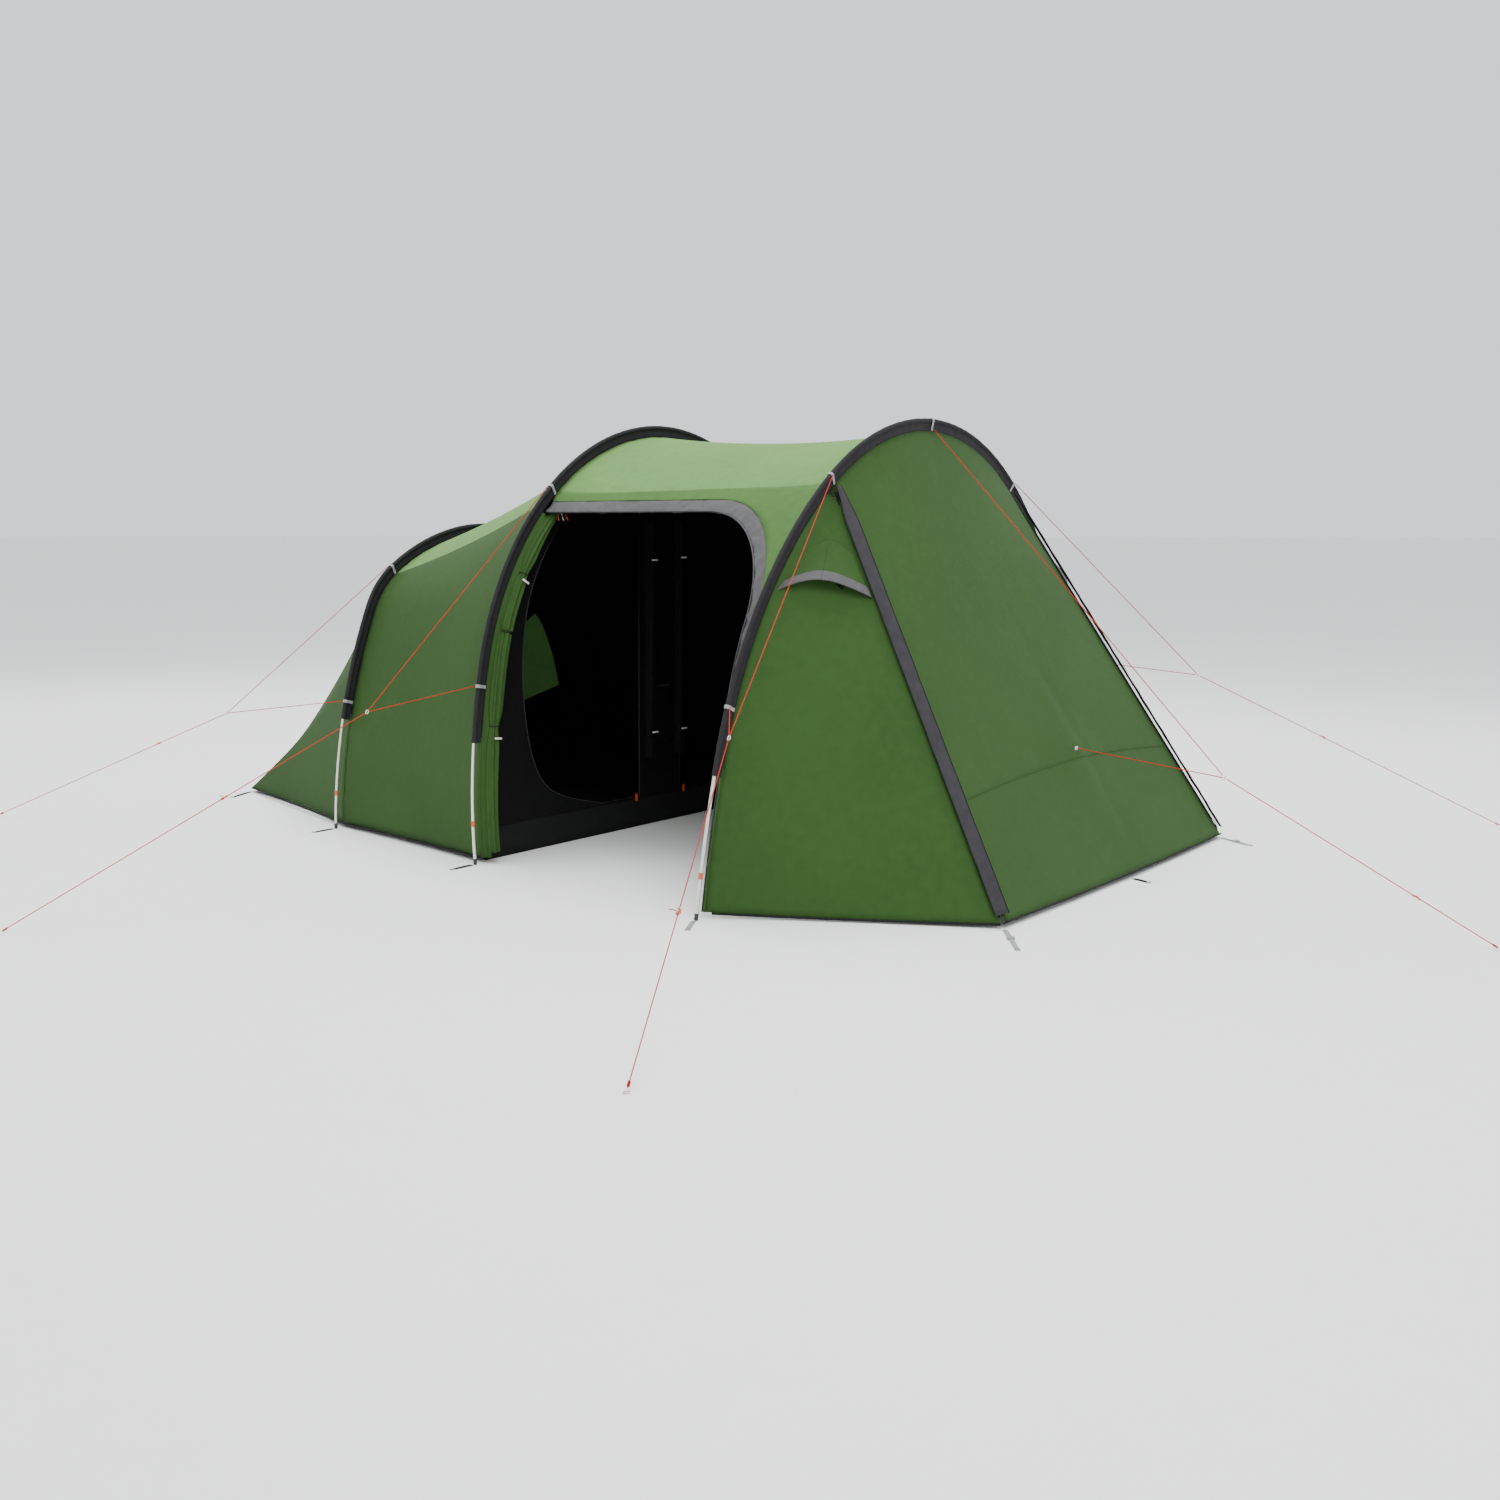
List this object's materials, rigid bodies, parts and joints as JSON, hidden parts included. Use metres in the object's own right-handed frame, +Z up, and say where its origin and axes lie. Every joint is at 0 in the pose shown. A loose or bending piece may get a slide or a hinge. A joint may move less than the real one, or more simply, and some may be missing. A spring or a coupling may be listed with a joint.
{
  "type": "tent",
  "caption": "Family tunnel tent on three hooped poles with a peaked porch, a tied-back side door, an inner bedroom and guy lines",
  "frame": {"origin": "on the ground, at the middle of the footprint of the tent without its guy lines", "axes": "+Z up; the tunnel runs along Y with the porch at -Y; the open side door is on -X"},
  "size_m": [5.119, 6.327, 1.795],
  "materials": {
    "buckle_plastic": "matte",
    "eyelet_metal": "satin",
    "ferrule_plastic": "matte",
    "flap_fabric": "woven",
    "fly_fabric": "woven",
    "groundsheet_fabric": "woven",
    "guy_cord": "braided",
    "hem_tape": "woven",
    "inner_fabric": "woven",
    "mesh": "mesh",
    "pole_alloy": "satin",
    "pole_tip_plastic": "matte",
    "ring_metal": "satin",
    "roof_fabric": "woven",
    "runner_plastic": "matte",
    "sleeve_fabric": "woven",
    "strut_plastic": "matte",
    "tab_webbing": "woven",
    "toggle_plastic": "matte",
    "trim_fabric": "woven",
    "webbing": "woven",
    "zip_coil": "matte",
    "zip_metal": "satin"
  },
  "bodies": {
    "tent": {"bedroom_left_side": "fly_fabric", "bedroom_right_side": "fly_fabric", "bedroom_roof": "roof_fabric", "centre_guy": "guy_cord", "door_toggles": "toggle_plastic", "front_left_guy": "guy_cord", "front_pole_arch": "pole_alloy", "front_right_guy": "guy_cord", "front_sleeve": "sleeve_fabric", "groundsheet": "groundsheet_fabric", "guy_rings": "ring_metal", "hem_piping": "hem_tape", "inner_canopy": "inner_fabric", "inner_door_rolls": "inner_fabric", "inner_front_wall": "inner_fabric", "inner_rear_wall": "inner_fabric", "inner_toggles": "toggle_plastic", "inner_window_mesh": "mesh", "leg_ferrules": "ferrule_plastic", "living_left_side": "fly_fabric", "living_right_side": "fly_fabric", "living_roof": "roof_fabric", "middle_left_guy": "guy_cord", "middle_pole_arch": "pole_alloy", "middle_sleeve": "sleeve_fabric", "organiser_pocket": "inner_fabric", "panel_guy_tab": "tab_webbing", "peg_eyelets": "eyelet_metal", "peg_straps": "webbing", "pole_legs": "pole_alloy", "pole_tips": "pole_tip_plastic", "porch_front_panel": "fly_fabric", "porch_zip_chains": "zip_coil", "rear_left_guy": "guy_cord", "rear_pole_arch": "pole_alloy", "rear_sleeve": "sleeve_fabric", "side_door_bundle": "fly_fabric", "side_door_trim": "trim_fabric", "strap_buckles": "buckle_plastic", "tail_back": "fly_fabric", "tail_left_side": "fly_fabric", "tail_right_side": "fly_fabric", "webbing_bands": "webbing"},
    "right_porch_door": {"right_porch_door": "fly_fabric", "right_storm_flap": "flap_fabric"},
    "left_porch_door": {"left_porch_door": "fly_fabric", "left_storm_flap": "flap_fabric"},
    "right_vent_hood": {"right_vent_hood": "fly_fabric"},
    "left_vent_hood": {"left_vent_hood": "fly_fabric"},
    "right_vent_strut": {"right_vent_strut": "strut_plastic"},
    "left_vent_strut": {"left_vent_strut": "strut_plastic"},
    "right_zip_slider": {"right_zip_slider": "zip_metal"},
    "left_zip_slider": {"left_zip_slider": "zip_metal"},
    "left_inner_zip_pull": {"left_inner_zip_pull": "runner_plastic"},
    "right_inner_zip_pull": {"right_inner_zip_pull": "runner_plastic"},
    "front_left_runner": {"front_left_runner": "runner_plastic"},
    "front_right_runner": {"front_right_runner": "runner_plastic"},
    "middle_left_runner": {"middle_left_runner": "runner_plastic"},
    "rear_left_runner": {"rear_left_runner": "runner_plastic"},
    "centre_runner": {"centre_runner": "runner_plastic"}
  },
  "joints": [
    {"name": "right_door_swing", "type": "hinge", "parent": "tent", "child": "right_porch_door", "pos_m": [1.45966, -1.2557, 0.01983], "axis": [-0.438, -0.0314, 0.8984], "range_deg": [0, 30]},
    {"name": "left_door_swing", "type": "hinge", "parent": "tent", "child": "left_porch_door", "pos_m": [-1.45966, -1.2557, 0.01983], "axis": [-0.438, 0.0314, -0.8984], "range_deg": [0, 30]},
    {"name": "right_hood_close", "type": "hinge", "parent": "right_porch_door", "child": "right_vent_hood", "pos_m": [0.85727, -1.36308, 1.30102], "axis": [0.7974, 0.6029, 0.0244], "range_deg": [0, 8]},
    {"name": "right_strut_fold", "type": "hinge", "parent": "right_porch_door", "child": "right_vent_strut", "pos_m": [0.93059, -1.3829, 1.1869], "axis": [0.7974, 0.6029, 0.0244], "range_deg": [0, 48]},
    {"name": "right_zip_travel", "type": "slide", "parent": "tent", "child": "right_zip_slider", "axis": [-0.1827, 0.4929, 0.8507], "range_m": [0, 1.4]},
    {"name": "left_hood_close", "type": "hinge", "parent": "left_porch_door", "child": "left_vent_hood", "pos_m": [-0.85727, -1.36308, 1.30102], "axis": [0.7974, -0.6029, -0.0244], "range_deg": [0, 8]},
    {"name": "left_strut_fold", "type": "hinge", "parent": "left_porch_door", "child": "left_vent_strut", "pos_m": [-0.93059, -1.3829, 1.1869], "axis": [0.7974, -0.6029, -0.0244], "range_deg": [0, 48]},
    {"name": "left_zip_travel", "type": "slide", "parent": "tent", "child": "left_zip_slider", "axis": [0.1827, 0.4929, 0.8507], "range_m": [0, 1.4]},
    {"name": "front_left_runner_slide", "type": "slide", "parent": "tent", "child": "front_left_runner", "axis": [-0.8181, -0.394, -0.4189], "range_m": [-0.1, 0.15]},
    {"name": "front_right_runner_slide", "type": "slide", "parent": "tent", "child": "front_right_runner", "axis": [0.3766, -0.8124, -0.4451], "range_m": [-0.1, 0.15]},
    {"name": "middle_left_runner_slide", "type": "slide", "parent": "tent", "child": "middle_left_runner", "axis": [-0.8826, 0.2097, -0.4206], "range_m": [-0.1, 0.15]},
    {"name": "rear_left_runner_slide", "type": "slide", "parent": "tent", "child": "rear_left_runner", "axis": [-0.4291, 0.8093, -0.4012], "range_m": [-0.1, 0.15]},
    {"name": "centre_runner_slide", "type": "slide", "parent": "tent", "child": "centre_runner", "axis": [-0.2137, -0.892, -0.3982], "range_m": [-0.15, 0.1]},
    {"name": "left_inner_zip_travel", "type": "slide", "parent": "tent", "child": "left_inner_zip_pull", "axis": [-1, 0, 0], "range_m": [0, 0.2]},
    {"name": "right_inner_zip_travel", "type": "slide", "parent": "tent", "child": "right_inner_zip_pull", "axis": [1, 0, 0], "range_m": [0, 0.2]}
  ],
  "couplings": [
    {"joint": "right_strut_fold", "follows": "right_hood_close", "ratio": 5.75},
    {"joint": "left_strut_fold", "follows": "left_hood_close", "ratio": 5.75}
  ]
}
